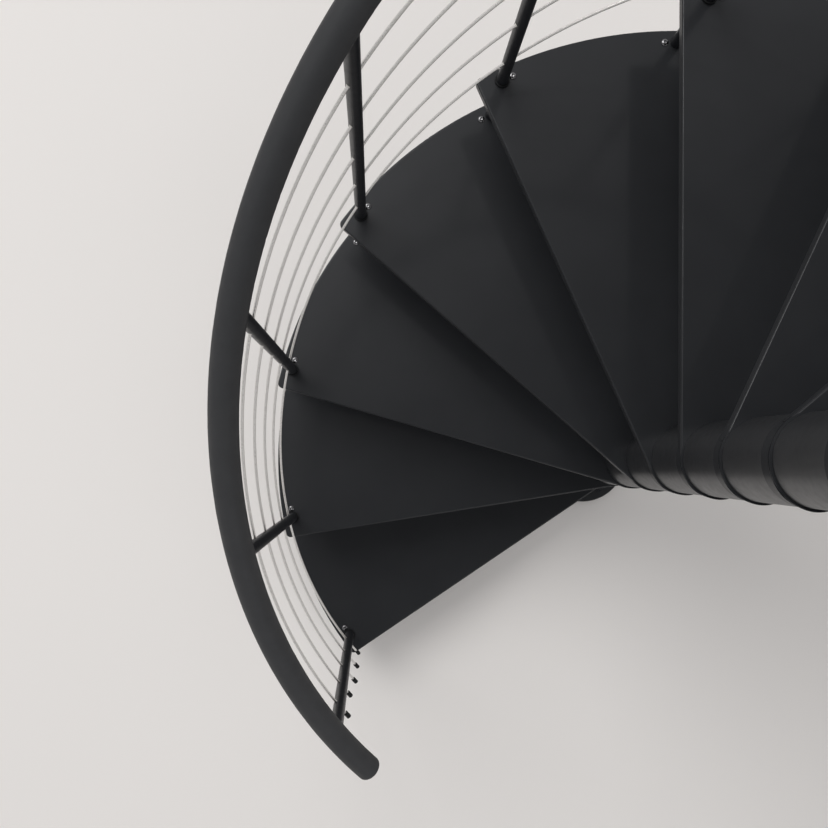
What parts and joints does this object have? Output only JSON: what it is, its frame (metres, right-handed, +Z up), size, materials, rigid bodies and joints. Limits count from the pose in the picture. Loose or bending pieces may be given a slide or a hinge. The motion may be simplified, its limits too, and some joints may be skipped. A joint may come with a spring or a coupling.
{
  "type": "spiral staircase",
  "caption": "Spiral staircase: wedge treads of folded steel on a centre pole, round balusters with curved steel rods and a round handrail on the outer side.",
  "frame": {"origin": "on the floor, on the axis of the centre pole, at the underside of the floor flange", "axes": "+Z up along the pole; the flight climbs clockwise seen from above, its first front edge pointing 213.7 degrees from +X, so it is entered from the -Y side"},
  "size_m": [1.5999, 1.5999, 3.6589],
  "materials": {
    "tread_coat": "satin black powder coat on folded steel sheet",
    "column_coat": "satin black powder coat",
    "post_coat": "satin black powder coat on round tube",
    "rod_steel": "drawn stainless rod",
    "rail_sleeve": "matt black vinyl sleeve over steel",
    "black_plastic": "moulded black nylon"
  },
  "bodies": {
    "root": {"base_plate": "column_coat", "centre_pole": "column_coat", "pole_cap": "black_plastic", "spacers": "column_coat", "tread_01": "tread_coat", "tread_02": "tread_coat", "tread_03": "tread_coat", "tread_04": "tread_coat", "tread_05": "tread_coat", "tread_06": "tread_coat", "tread_07": "tread_coat", "tread_08": "tread_coat", "tread_09": "tread_coat", "tread_10": "tread_coat", "tread_11": "tread_coat", "tread_12": "tread_coat", "landing": "tread_coat", "baluster_01": "post_coat", "baluster_02": "post_coat", "baluster_03": "post_coat", "baluster_04": "post_coat", "baluster_05": "post_coat", "baluster_06": "post_coat", "baluster_07": "post_coat", "baluster_08": "post_coat", "baluster_09": "post_coat", "baluster_10": "post_coat", "baluster_11": "post_coat", "baluster_12": "post_coat", "baluster_13": "post_coat", "baluster_foot": "post_coat", "collars": "black_plastic", "clamps_front": "column_coat", "clamps_rear": "column_coat", "rod_1": "rod_steel", "rod_2": "rod_steel", "rod_3": "rod_steel", "rod_4": "rod_steel", "rod_5": "rod_steel", "rod_caps": "black_plastic", "handrail": "rail_sleeve", "rail_caps": "black_plastic"}
  },
  "joints": []
}
